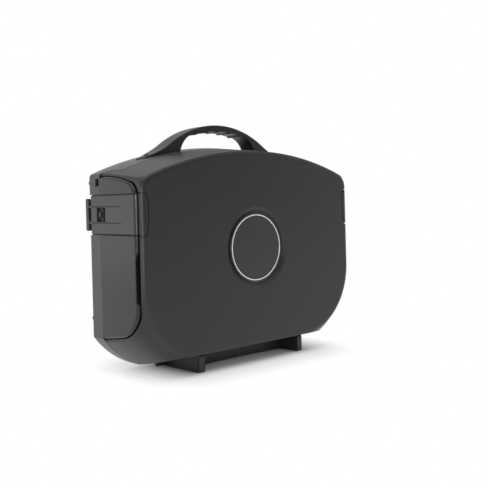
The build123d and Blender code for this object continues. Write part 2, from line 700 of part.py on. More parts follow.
with BuildPart() as right_speaker:
    with BuildSketch(front_plane(BEZEL_Y - SEAT)):
        with Locations(speaker_places[1]):
            RectangleRounded(SPEAKER_W + BOSS_R, SPEAKER_H + BOSS_R, SPEAKER_H / 3)
    extrude(amount=SPEAKER_T / 4)
    with BuildSketch(front_plane(BEZEL_Y - SPEAKER_T / 4)):
        with Locations(speaker_places[1]):
            RectangleRounded(SPEAKER_W - BOSS_R, SPEAKER_H - BOSS_R, SPEAKER_H / 3)
    extrude(amount=SPEAKER_T / 2, taper=12)
    with BuildSketch(front_plane(BEZEL_Y - SPEAKER_T * 0.7)):
        with Locations(speaker_places[1]):
            Circle(SPEAKER_H / 3)
    extrude(amount=SPEAKER_T * 0.3)
    with BuildSketch(front_plane(BEZEL_Y - SEAT)):
        with Locations(speaker_places[1]):
            RectangleRounded(SPEAKER_W - BOSS_R * 2, SPEAKER_H - BOSS_R * 2, SPEAKER_H / 4)
    extrude(amount=SPEAKER_T / 3, taper=20, mode=Mode.SUBTRACT)

with BuildPart() as left_speaker:
    mirror(right_speaker.part, about=Plane.YZ)

with BuildPart() as right_speaker_grille:
    with BuildSketch(front_plane(BEZEL_Y + BEZEL_T)):
        with Locations(speaker_places[1]):
            RectangleRounded(SPEAKER_W - FIT, SPEAKER_H - FIT, SPEAKER_H / 3 - FIT / 2)
            with GridLocations(SPEAKER_W / (GRILLE_SLOTS + 1), 0, GRILLE_SLOTS, 1):
                SlotOverall(SPEAKER_H * 0.7, GRILLE_T, rotation=90, mode=Mode.SUBTRACT)
    extrude(amount=GRILLE_T)

with BuildPart() as left_speaker_grille:
    mirror(right_speaker_grille.part, about=Plane.YZ)

with BuildPart() as bezel_screws:
    add(rods(bezel_places, SCREW_R, BEZEL_Y - SCREW_LENGTH + SEAT, BEZEL_Y + BEZEL_T + SEAT))
    add(rods(bezel_places, SCREW_HEAD_R, BEZEL_Y + BEZEL_T, BEZEL_Y + BEZEL_T + SCREW_HEAD))
    chamfer(bezel_screws.faces().group_by(Axis.Y)[-1].edges(), SCREW_HEAD / 4)


def press_button(x):
    """One round button standing through the bezel, with the flange that keeps it in."""
    back = BEZEL_Y - SEAT - BUTTON_FLANGE
    with BuildPart() as button:
        add(rods([(x, SPEAKER_Z)], BUTTON_R, back, BEZEL_Y + BEZEL_T + BUTTON_RISE))
        add(rods([(x, SPEAKER_Z)], BUTTON_R + BUTTON_FLANGE, back, BEZEL_Y - SEAT))
        fillet(button.faces().sort_by(Axis.Y)[-1].edges(), BUTTON_RISE / 2)
    return button.part


with BuildPart() as right_skid:
    with BuildSketch(side_plane(SKID_X - SKID_W / 2)):
        with BuildLine():
            top = underside(SKID_FRONT) - SEAT
            Line((SKID_FRONT + SKID_TOE_R, 0), (HINGE_Y - BARREL_R, 0))
            Polyline(
                (HINGE_Y - BARREL_R, 0),
                (HINGE_Y, HINGE_Z - BARREL_R),
                (HINGE_Y, HINGE_Z + BARREL_R),
                (HINGE_Y - BARREL_R, underside(HINGE_Y - BARREL_R) - SEAT),
                (SKID_FRONT + SKID_TOE_R, underside(SKID_FRONT + SKID_TOE_R) - SEAT),
            )
            ThreePointArc(
                (SKID_FRONT + SKID_TOE_R, underside(SKID_FRONT + SKID_TOE_R) - SEAT),
                on_circle((SKID_FRONT + SKID_TOE_R, top - SKID_TOE_R), SKID_TOE_R, pi * 0.75),
                (SKID_FRONT, top - SKID_TOE_R),
            )
            Line((SKID_FRONT, top - SKID_TOE_R), (SKID_FRONT, SKID_TOE_R))
            RadiusArc((SKID_FRONT, SKID_TOE_R), (SKID_FRONT + SKID_TOE_R, 0), -SKID_TOE_R)
        make_face()
        with Locations((HINGE_Y, HINGE_Z)):
            Circle(BARREL_R)
            Circle(PIN_R + SEAT, mode=Mode.SUBTRACT)
    extrude(amount=SKID_W)
    # the groove that follows the lip round, on both flanks
    groove_y = SKID_FRONT + SKID_LIP
    for x in (SKID_X - SKID_W / 2, SKID_X + SKID_W / 2 - SKID_GROOVE):
        with BuildSketch(side_plane(x)):
            with BuildLine():
                Polyline(
                    (groove_y, underside(groove_y) - SKID_TOE_R),
                    (groove_y, SKID_LIP * 2),
                    (groove_y + SKID_LIP, SKID_LIP),
                    (groove_y + SKID_LIP * 4, SKID_LIP),
                )
                offset(amount=SKID_GROOVE / 2)
            make_face()
        extrude(amount=SKID_GROOVE, mode=Mode.SUBTRACT)
    toe_places = [(SKID_X, y) for y in SKID_SCREWS]
    add(pillars(toe_places, SCREW_R + SEAT, SKID_LIP, BOTTOM_FRONT), mode=Mode.SUBTRACT)

with BuildPart() as left_skid:
    mirror(right_skid.part, about=Plane.YZ)

with BuildPart() as stand_bar:
    bar_end = SKID_X - SKID_W / 2 - FIT
    bar_top = underside(BAR_FRONT) - SEAT
    bar_top_rear = underside(BAR_FRONT + BAR_T) - SEAT
    with BuildSketch(side_plane(-bar_end)):
        with BuildLine():
            Polyline(
                (BAR_FRONT, 0),
                (BAR_FRONT + BAR_T, 0),
                (BAR_FRONT + BAR_T, bar_top_rear),
                (BAR_FRONT, bar_top),
                close=True,
            )
        make_face()
    extrude(amount=bar_end * 2)
    with BuildSketch(front_plane(BAR_FRONT + BAR_T)):
        with BuildLine():
            ThreePointArc((-bar_end, BAR_CLEAR), (0, BAR_CLEAR + BAR_ARCH), (bar_end, BAR_CLEAR))
            Polyline((bar_end, BAR_CLEAR), (bar_end, -BAR_T), (-bar_end, -BAR_T), (-bar_end, BAR_CLEAR))
        make_face()
    extrude(amount=BAR_T, mode=Mode.SUBTRACT)
    add(
        pillars(skid_places[-2:], SCREW_R + SEAT, bar_top - SCREW_LENGTH, BOTTOM_FRONT),
        mode=Mode.SUBTRACT,
    )

with BuildPart() as skid_screws:
    for x, y in skid_places:
        floor = underside(y) + WALL - SCREW_HEAD_R * UNDER_SLOPE + SEAT
        add(pillars([(x, y)], SCREW_R, floor - SCREW_LENGTH, floor + SEAT))
        add(pillars([(x, y)], SCREW_HEAD_R, floor, floor + SCREW_HEAD))

with BuildPart() as right_hinge_pin:
    pin_x = (SKID_X - SKID_W / 2 + SEAT, leaf_x + LEAF_W / 2 - SEAT)
    add(cross_rods([(HINGE_Y, HINGE_Z)], PIN_R, *pin_x))

with BuildPart() as left_hinge_pin:
    mirror(right_hinge_pin.part, about=Plane.YZ)

with BuildPart() as right_hinge_leaf:
    with BuildSketch(side_plane(leaf_x - LEAF_W / 2)):
        with BuildLine():
            leaf_top = BOTTOM_REAR - SEAT
            Polyline(
                (HINGE_Y, HINGE_Z - BARREL_R),
                (HINGE_Y + BARREL_R, leaf_top - LEAF_T),
                (HINGE_Y + LEAF_LENGTH, leaf_top - LEAF_T),
                (HINGE_Y + LEAF_LENGTH, leaf_top),
                (HINGE_Y + BARREL_R / 2, leaf_top),
                (HINGE_Y, HINGE_Z + BARREL_R),
                close=True,
            )
        make_face()
        with Locations((HINGE_Y, HINGE_Z)):
            Circle(BARREL_R)
            Circle(PIN_R + FIT - SEAT, mode=Mode.SUBTRACT)
    extrude(amount=LEAF_W)
    right_places = [place for place in leaf_places if place[0] > 0]
    add(pillars(right_places, SCREW_R + SEAT, 0, BOTTOM_REAR), mode=Mode.SUBTRACT)

with BuildPart() as left_hinge_leaf:
    mirror(right_hinge_leaf.part, about=Plane.YZ)

with BuildPart() as hinge_screws:
    leaf_low = BOTTOM_REAR - SEAT - LEAF_T
    add(pillars(leaf_places, SCREW_R, leaf_low - SEAT, BOTTOM_REAR + WALL - FIT))
    add(pillars(leaf_places, SCREW_HEAD_R, leaf_low - SCREW_HEAD, leaf_low))

# Base: shallow tray with the arched top band
rim_outer = extrude(rim_face(REAR, 0), amount=REAR - BASE_START)
rim_outer = rim_outer.fillet(REAR_EDGE_R, rim_outer.faces().sort_by(Axis.Y)[-1].edges())
band_outer = lid_form(0, 0, BASE_START + FIT)
band_wall = band_outer - lid_form(WALL, FACE_WALL, BASE_START + PART_GAP)
band_wall = band_wall & extrude(band_face(LATCH_HIGH + EDGE_R, BAND_GAP), amount=HALF_WIDTH)
latch_seat = block(
    (pocket_floor - WALL, HALF_WIDTH - WALL / 2),
    (BASE_START, REAR - WALL / 2),
    (LATCH_LOW - WALL, LATCH_HIGH + WALL),
)
keeper_hole = cross_rods(
    [((KEEPER_Y[0] + KEEPER_Y[1]) / 2, LATCH_MID)], STUD_R + SEAT, pocket_floor - WALL - SEAT, HALF_WIDTH
)

with BuildPart() as base_shell:
    add(rim_outer)
    extrude(rim_face(REAR - WALL, WALL), amount=REAR, mode=Mode.SUBTRACT)
    add(band_wall)
    add(both_sides(latch_seat))
    add(both_sides(latch_pocket), mode=Mode.SUBTRACT)
    add(both_sides(keeper_hole), mode=Mode.SUBTRACT)
    slot_z = SHOULDER - SLOT_DROP
    slot = block((HALF_WIDTH - WALL * 2, HALF_WIDTH + WALL), SLOT_Y, (slot_z - SLOT_H / 2, slot_z + SLOT_H / 2))
    add(both_sides(slot), mode=Mode.SUBTRACT)
    # posts that take the handle screws from inside
    for x, y in handle_places:
        crown = arch_height(x, y) - WALL / 2
        add(pillars([(x, y)], BOSS_R, arch_height(HANDLE_SCREW_X, BAND_FRONT) - HANDLE_POST, crown))
    # ribs behind the rear wall carry the liner
    with Locations(*[(x, depth(REAR - WALL - RIB_H / 2), CHEEK_Z + EDGE_R) for x in RIB_X]):
        Box(WALL, RIB_H + SEAT, RIB_LENGTH)
    add(pillars(handle_places + tail_places, SCREW_R + SEAT, BASE_START, HANDLE_TOP), mode=Mode.SUBTRACT)
    add(pillars(leaf_places, SCREW_R + SEAT, 0, BOTTOM_REAR + WALL - SEAT), mode=Mode.SUBTRACT)
    wing_holes = cross_rods(wing_places, SCREW_R + SEAT, HALF_WIDTH - WALL * 2, HALF_WIDTH - WALL / 3)
    add(both_sides(wing_holes), mode=Mode.SUBTRACT)
    add(rods(bumper_places, BUMPER_R / 2, REAR - WALL * 2, REAR + WALL), mode=Mode.SUBTRACT)

hollow_x = HALF_WIDTH - WING_T - SEAT
hollow_front = WING_FRONT + WING_FRONT_RIM
wing_hollow = extrude(
    wing_face(hollow_x, -WING_RIM, WING_TOP_CORNER, hollow_front, wing_rear - WING_RIM),
    amount=WING_T + SEAT - WING_SKIN,
)
wing_hollow = wing_hollow - block(
    (0, HALF_WIDTH), (0, REAR), (LATCH_LOW - WING_RIM * 2, HALF_WIDTH * 2)
)
window_well = block(
    (pocket_floor - WINDOW_WELL, HALF_WIDTH),
    (WINDOW_Y[0], wing_rear + SEAT),
    (LATCH_MID - WINDOW_H / 2, LATCH_MID + WINDOW_H / 2),
)
flange_x = (HALF_WIDTH - WALL - FIT - FLANGE_T, HALF_WIDTH - WALL - FIT)

with BuildPart() as right_wing:
    extrude(wing_face(HALF_WIDTH - WING_T, 0, WING_TOP_CORNER, WING_FRONT, wing_rear), amount=WING_T)
    rim = right_wing.faces().sort_by(Axis.X)[-1].edges().filter_by(
        lambda e: min((e @ 0).Y, (e @ 1).Y) < depth(wing_rear - FIT)
    )
    fillet(rim, WING_EDGE_R)
    add(wing_hollow, mode=Mode.SUBTRACT)
    add(latch_pocket, mode=Mode.SUBTRACT)
    add(window_well, mode=Mode.SUBTRACT)
    add(block(flange_x, (wing_rear - WING_RIM, BASE_START + FLANGE_LAP), FLANGE_Z))
    # finger notch in the front edge
    with BuildSketch(side_plane(HALF_WIDTH - WING_T)):
        with BuildLine():
            Polyline(
                (-EDGE_R, GRIP_LOW),
                (WING_FRONT, GRIP_LOW),
                (WING_FRONT + GRIP_DEPTH, GRIP_LOW + GRIP_DEPTH),
                (WING_FRONT + GRIP_DEPTH, GRIP_HIGH - GRIP_DEPTH * 4),
                (WING_FRONT, GRIP_HIGH),
                (-EDGE_R, GRIP_HIGH),
                close=True,
            )
        make_face()
    extrude(amount=WING_T * 2, mode=Mode.SUBTRACT)
    pin_z = (LATCH_LOW - PIN_SEAT, LATCH_HIGH + PIN_SEAT)
    add(pillars([(PIN_X, PIN_Y)], PIN_R + SEAT, *pin_z), mode=Mode.SUBTRACT)
    flange_holes = cross_rods(wing_places, SCREW_R + SEAT, flange_x[0] - SEAT, flange_x[1] + SEAT)
    add(flange_holes, mode=Mode.SUBTRACT)

with BuildPart() as left_wing:
    mirror(right_wing.part, about=Plane.YZ)

with BuildPart() as wing_screws:
    add(both_sides(cross_rods(wing_places, SCREW_R, flange_x[0] - SEAT, HALF_WIDTH - WALL / 2)))
    add(both_sides(cross_rods(wing_places, SCREW_HEAD_R, flange_x[0] - SCREW_HEAD, flange_x[0])))

# Handle: bow with finger rests, standing on two fairings
handle_seat = lid_form(-SEAT, 0, BASE_START + FIT)
handle_seat += extrude(rim_face(REAR + EDGE_R, -SEAT), amount=REAR + EDGE_R - BASE_START)
with BuildSketch(plan_plane(SHOULDER)) as handle_plan:
    with BuildLine():
        handle_front = HANDLE_Y - HANDLE_W / 2
        handle_rear = HANDLE_Y + HANDLE_W / 2
        Line((-HANDLE_TAIL, handle_front), (HANDLE_TAIL, handle_front))
        TangentArc((HANDLE_TAIL, handle_front), (HANDLE_FOOT, HANDLE_Y), tangent=(1, 0))
        TangentArc((HANDLE_TAIL, handle_rear), (HANDLE_FOOT, HANDLE_Y), tangent=(1, 0))
        Line((HANDLE_TAIL, handle_rear), (-HANDLE_TAIL, handle_rear))
        TangentArc((-HANDLE_TAIL, handle_rear), (-HANDLE_FOOT, HANDLE_Y), tangent=(-1, 0))
        TangentArc((-HANDLE_TAIL, handle_front), (-HANDLE_FOOT, HANDLE_Y), tangent=(-1, 0))
    make_face()

with BuildPart() as handle:
    with BuildSketch(front_plane(HANDLE_Y + HANDLE_W / 2)) as bow:
        bow_z = HANDLE_TOP - HANDLE_R
        fair_z = bow_z + sqrt(HANDLE_R**2 - HANDLE_FAIR_X**2)
        end_z = arch_height(HANDLE_FOOT, PARTING) + HANDLE_FOOT_T
        low = arch_height(HANDLE_FOOT, PARTING) - HANDLE_W
        grip_z = HANDLE_TOP - HANDLE_GRIP
        grip_end = HANDLE_INNER - HANDLE_INNER_R
        grip_low = grip_z - grip_end**2 / (2 * HANDLE_GRIP_R)
        fair = (HANDLE_FAIR_X, fair_z)
        tail = (HANDLE_FOOT, end_z)
        with BuildLine():
            ThreePointArc((-HANDLE_FAIR_X, fair_z), (0, HANDLE_TOP), fair)
            TangentArc(fair, tail, tangent=(fair_z - bow_z, -HANDLE_FAIR_X))
            Polyline(tail, (HANDLE_FOOT, low), (HANDLE_INNER, low))
            Line((HANDLE_INNER, low), (HANDLE_INNER, grip_low - HANDLE_INNER_R))
            TangentArc((HANDLE_INNER, grip_low - HANDLE_INNER_R), (grip_end, grip_low), tangent=(0, 1))
            ThreePointArc((grip_end, grip_low), (0, grip_z), (-grip_end, grip_low))
            TangentArc((-HANDLE_INNER, grip_low - HANDLE_INNER_R), (-grip_end, grip_low), tangent=(0, 1))
            Line((-HANDLE_INNER, grip_low - HANDLE_INNER_R), (-HANDLE_INNER, low))
            Polyline((-HANDLE_INNER, low), (-HANDLE_FOOT, low), (-HANDLE_FOOT, end_z))
            TangentArc(
                (-HANDLE_FAIR_X, fair_z), (-HANDLE_FOOT, end_z), tangent=(bow_z - fair_z, -HANDLE_FAIR_X)
            )
        make_face()
        for n in (-2, -1, 0, 1, 2):
            x = n * FINGER_PITCH
            with Locations((x, grip_z - x**2 / (2 * HANDLE_GRIP_R) - FINGER_BITE + FINGER_R)):
                Circle(FINGER_R)
    extrude(amount=HANDLE_W)
    top = handle.edges().filter_by(GeomType.CIRCLE).filter_by(lambda e: abs(e.radius - HANDLE_R) < FIT)
    chamfer(top, HANDLE_EDGE)
    extrude(handle_plan.sketch, amount=HANDLE_TOP - SHOULDER + HANDLE_W, mode=Mode.INTERSECT)
    add(handle_seat, mode=Mode.SUBTRACT)
    hole_top = arch_height(HANDLE_SCREW_X, PARTING) + SCREW_LENGTH / 2
    add(pillars(handle_places, SCREW_R + SEAT, 0, hole_top), mode=Mode.SUBTRACT)
    add(pillars(tail_places, SCREW_R + SEAT, 0, HANDLE_TOP), mode=Mode.SUBTRACT)
    tail_seat = arch_height(TAIL_SCREW_X - SCREW_HEAD_R, PARTING) + TAIL_FLOOR
    add(pillars(tail_places, SCREW_HEAD_R + FIT, tail_seat, HANDLE_TOP), mode=Mode.SUBTRACT)

with BuildPart() as handle_screws:
    post_low = arch_height(HANDLE_SCREW_X, BAND_FRONT) - HANDLE_POST
    add(pillars(handle_places, SCREW_R, post_low - SEAT, hole_top - SEAT))
    add(pillars(handle_places, SCREW_HEAD_R, post_low - SCREW_HEAD, post_low))
    add(pillars(tail_places, SCREW_R, tail_seat - SCREW_LENGTH, tail_seat + SEAT))
    add(pillars(tail_places, SCREW_HEAD_R, tail_seat, tail_seat + SCREW_HEAD))

# Console bay inside the base
liner_rear = REAR - WALL - RIB_H - SEAT
liner_front = liner_rear - LINER_T
with BuildPart() as deck_liner:
    extrude(rim_face(liner_rear, LINER_INSET), amount=LINER_T)

with BuildPart() as foam_pads:
    with Locations(*[(sx * PAD_X, depth(liner_front - PAD[1] / 2), z) for sx in (-1, 1) for z in PAD_Z]):
        Box(*PAD)
    fillet(foam_pads.faces().group_by(Axis.Y)[0].edges(), EDGE_R / 2)

with BuildPart() as power_supply:
    with Locations((0, depth(liner_front - SUPPLY[1] / 2), SUPPLY_Z)):
        Box(*SUPPLY)
    fillet(power_supply.faces().sort_by(Axis.Y)[0].edges(), WALL / 2)
    with Locations((0, depth(liner_front - SUPPLY[1]), SUPPLY_Z)):
        with GridLocations(SUPPLY_VENT * 2, 0, SUPPLY_VENTS, 1):
            Box(SUPPLY_VENT, SUPPLY_VENT, SUPPLY[2] / 2, mode=Mode.SUBTRACT)

with BuildPart() as power_inlet:
    inlet_x = SUPPLY[0] / 2 + INLET[0]
    with Locations((inlet_x, depth(liner_front - INLET[1] / 2), SUPPLY_Z)):
        Box(*INLET)
    with BuildSketch(front_plane(liner_front - INLET[1])):
        with Locations((inlet_x, SUPPLY_Z)):
            RectangleRounded(INLET[0] - WALL * 2, INLET[2] - WALL * 2, WALL)
    extrude(amount=-INLET[1] / 2, mode=Mode.SUBTRACT)
    pin_y = depth(liner_front - INLET[1] / 2)
    with Locations(*[(inlet_x + sx * INLET_PIN, pin_y, SUPPLY_Z) for sx in (-1, 1)]):
        Box(INLET_PIN / 2, INLET[1] / 2, INLET_PIN)

with BuildPart() as right_keeper:
    keeper_z = (LATCH_MID - KEEPER_H / 2, LATCH_MID + KEEPER_H / 2)
    add(block((pocket_floor + SEAT, pocket_floor + KEEPER_RISE), KEEPER_Y, keeper_z))
    fillet(right_keeper.edges().filter_by(Axis.X), KEEPER_RISE / 4)
    chamfer(right_keeper.faces().sort_by(Axis.X)[-1].edges(), KEEPER_RISE / 8)
    add(
        cross_rods(
            [((KEEPER_Y[0] + KEEPER_Y[1]) / 2, LATCH_MID)],
            STUD_R,
            pocket_floor - WALL,
            pocket_floor + SEAT * 2,
        )
    )

with BuildPart() as left_keeper:
    mirror(right_keeper.part, about=Plane.YZ)

with BuildPart() as right_latch_pin:
    add(pillars([(PIN_X, PIN_Y)], PIN_R, LATCH_LOW - PIN_SEAT + SEAT, LATCH_HIGH + PIN_SEAT - SEAT))

with BuildPart() as left_latch_pin:
    mirror(right_latch_pin.part, about=Plane.YZ)

with BuildPart() as rear_bumpers:
    add(rods(bumper_places, BUMPER_R, REAR + SEAT, BUMPER_END))
    fillet(rear_bumpers.faces().group_by(Axis.Y)[-1].edges(), BUMPER_R / 4)
    add(rods(bumper_places, BUMPER_R / 2 - SEAT, REAR - WALL, REAR + SEAT * 2))

latch_z = (LATCH_LOW + PANEL_GAP / 2, LATCH_HIGH - PANEL_GAP / 2)
with BuildPart() as right_latch:
    add(block((HALF_WIDTH - LATCH_T, HALF_WIDTH), (PIN_Y, LATCH_END), latch_z))
    end = right_latch.edges().filter_by(Axis.Z).sort_by(lambda e: e.center().X + e.center().Y)[-1]
    fillet(end, LATCH_T - FIT)
    outside = right_latch.faces().filter_by(Axis.X).sort_by(Axis.X)[-1]
    chamfer(outside.edges().filter_by(Axis.Y), LATCH_EDGE)
    add(pillars([(PIN_X, PIN_Y)], LATCH_BARREL_R, *latch_z))
    # window that drops over the keeper
    with BuildSketch(side_plane(HALF_WIDTH - LATCH_T * 2)):
        with Locations(((WINDOW_Y[0] + WINDOW_Y[1]) / 2, LATCH_MID)):
            RectangleRounded(WINDOW_Y[1] - WINDOW_Y[0], WINDOW_H, WALL / 2)
    extrude(amount=LATCH_T * 3, mode=Mode.SUBTRACT)
    # tongue lines pressed into the outer face, each starting at a small stud
    with BuildSketch(side_plane(HALF_WIDTH - TONGUE_DEPTH)):
        for z in TONGUE_Z:
            with Locations(((TONGUE_START + LATCH_END) / 2, z)):
                Rectangle(LATCH_END - TONGUE_START + WALL, TONGUE_LINE)
    extrude(amount=WALL, mode=Mode.SUBTRACT)
    studs = [(TONGUE_START, z) for z in TONGUE_Z]
    add(cross_rods(studs, STUD_R, HALF_WIDTH - LATCH_T / 2, HALF_WIDTH - SEAT))
    # finger pull behind the case, carried by two ribs
    pull_x = HALF_WIDTH - LATCH_T + SEAT
    for z in TONGUE_Z:
        rib_y = (LATCH_END - LATCH_T, PULL_Y[0] + PULL_RIB / 2)
        add(block((pull_x, HALF_WIDTH - PULL_RIB / 4), rib_y, (z - PULL_RIB / 2, z + PULL_RIB / 2)))
    with BuildSketch(side_plane(pull_x)):
        with Locations(((PULL_Y[0] + PULL_Y[1]) / 2, LATCH_MID)):
            RectangleRounded(PULL_Y[1] - PULL_Y[0], PULL_H, PULL_CORNER)
    extrude(amount=LATCH_T - SEAT)
    pull_rim = right_latch.edges().filter_by(
        lambda e: e.center().Y > depth(PULL_Y[0] + PULL_RIB / 2) and e.center().X > HALF_WIDTH - SEAT
    )
    chamfer(pull_rim, LATCH_EDGE)
    add(pillars([(PIN_X, PIN_Y)], PIN_R + FIT - SEAT, LATCH_LOW, LATCH_HIGH), mode=Mode.SUBTRACT)

with BuildPart() as left_latch:
    mirror(right_latch.part, about=Plane.YZ)

pieces = {
    "lid_shell": lid_shell.part,
    "emblem_disc": emblem_disc.part,
    "emblem_ring": emblem_ring.part,
    "left_strike_plate": left_strike_plate.part,
    "right_strike_plate": right_strike_plate.part,
    "display_bezel": display_bezel.part,
    "display_panel": display_panel.part,
    "display_board": display_board.part,
    "key_board": key_board.part,
    "left_speaker": left_speaker.part,
    "right_speaker": right_speaker.part,
    "left_speaker_grille": left_speaker_grille.part,
    "right_speaker_grille": right_speaker_grille.part,
    "bezel_screws": bezel_screws.part,
    "left_skid": left_skid.part,
    "right_skid": right_skid.part,
    "stand_bar": stand_bar.part,
    "skid_screws": skid_screws.part,
    "left_hinge_pin": left_hinge_pin.part,
    "right_hinge_pin": right_hinge_pin.part,
    "left_hinge_leaf": left_hinge_leaf.part,
    "right_hinge_leaf": right_hinge_leaf.part,
    "hinge_screws": hinge_screws.part,
    "base_shell": base_shell.part,
    "left_wing": left_wing.part,
    "right_wing": right_wing.part,
    "wing_screws": wing_screws.part,
    "handle": handle.part,
    "handle_screws": handle_screws.part,
    "deck_liner": deck_liner.part,
    "foam_pads": foam_pads.part,
    "power_supply": power_supply.part,
    "power_inlet": power_inlet.part,
    "left_keeper": left_keeper.part,
    "right_keeper": right_keeper.part,
    "left_latch_pin": left_latch_pin.part,
    "right_latch_pin": right_latch_pin.part,
    "rear_bumpers": rear_bumpers.part,
    "left_latch": left_latch.part,
    "right_latch": right_latch.part,
}
for name, x in zip(BUTTONS, button_x):
    pieces[name] = press_button(x)

os.makedirs("parts", exist_ok=True)
for name, piece in pieces.items():
    piece.label = name
    export_step(piece, f"parts/{name}.step")
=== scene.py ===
"""Dresses a packed hard-shell carry case: finishes, soft pieces, studio and camera."""

import logging
import math
from dataclasses import dataclass, field
from enum import Enum
from typing import Any, Union

import bpy
from mathutils import Matrix, Vector

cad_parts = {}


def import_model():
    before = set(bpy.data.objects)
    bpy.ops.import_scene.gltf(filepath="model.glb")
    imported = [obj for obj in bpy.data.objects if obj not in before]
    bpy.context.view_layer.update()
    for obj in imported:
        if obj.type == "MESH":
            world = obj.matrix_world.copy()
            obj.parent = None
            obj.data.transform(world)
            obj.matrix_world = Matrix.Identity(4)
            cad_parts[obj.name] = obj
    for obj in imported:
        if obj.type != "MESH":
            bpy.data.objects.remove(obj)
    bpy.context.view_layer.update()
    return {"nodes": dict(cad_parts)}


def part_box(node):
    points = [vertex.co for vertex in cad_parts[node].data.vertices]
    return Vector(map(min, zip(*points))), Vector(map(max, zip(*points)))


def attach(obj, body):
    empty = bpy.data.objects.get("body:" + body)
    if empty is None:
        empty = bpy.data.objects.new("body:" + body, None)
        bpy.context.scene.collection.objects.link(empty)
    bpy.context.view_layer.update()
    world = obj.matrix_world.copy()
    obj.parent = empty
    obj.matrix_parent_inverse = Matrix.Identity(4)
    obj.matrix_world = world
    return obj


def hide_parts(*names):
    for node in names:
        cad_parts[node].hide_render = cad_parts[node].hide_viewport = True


LOG = logging.getLogger("carry_case")
WHITE = (1.0, 1.0, 1.0, 1.0)
Colour = tuple[float, float, float]
Value = Union[float, "Wire"]


class Body(Enum):
    """Bodies of the case that pieces made here ride on."""

    BASE = "base"


class Wire:
    """One value in a shader, with arithmetic that adds Math nodes."""

    def __init__(self, sheet: "Sheet", socket: bpy.types.NodeSocket) -> None:
        """Keeps the socket and the sheet it is on."""
        self.sheet = sheet
        self.socket = socket

    def _maths(self, operation: str, first: Value, second: Value) -> "Wire":
        """Adds one Math node.

        Args:
            operation: the node's operation.
            first: its first value.
            second: its second value.

        Returns:
            The node's result.
        """
        return self.sheet.node("ShaderNodeMath", {"operation": operation}, {0: first, 1: second})

    def __add__(self, other: Value) -> "Wire":
        """Sum."""
        return self._maths("ADD", self, other)

    def __radd__(self, other: Value) -> "Wire":
        """Sum with a number on the left."""
        return self._maths("ADD", other, self)

    def __sub__(self, other: Value) -> "Wire":
        """Difference."""
        return self._maths("SUBTRACT", self, other)

    def __rsub__(self, other: Value) -> "Wire":
        """Difference from a number."""
        return self._maths("SUBTRACT", other, self)

    def __mul__(self, other: Value) -> "Wire":
        """Product."""
        return self._maths("MULTIPLY", self, other)

    def __rmul__(self, other: Value) -> "Wire":
        """Product with a number on the left."""
        return self._maths("MULTIPLY", other, self)

    def __pow__(self, other: Value) -> "Wire":
        """Power."""
        return self._maths("POWER", self, other)

    def __rpow__(self, other: Value) -> "Wire":
        """Power of a number."""
        return self._maths("POWER", other, self)

    def __or__(self, other: Value) -> "Wire":
        """The greater of two values, as for either of two masks."""
        return self._maths("MAXIMUM", self, other)

    def __ror__(self, other: Value) -> "Wire":
        """The greater of a number and a value."""
        return self._maths("MAXIMUM", other, self)


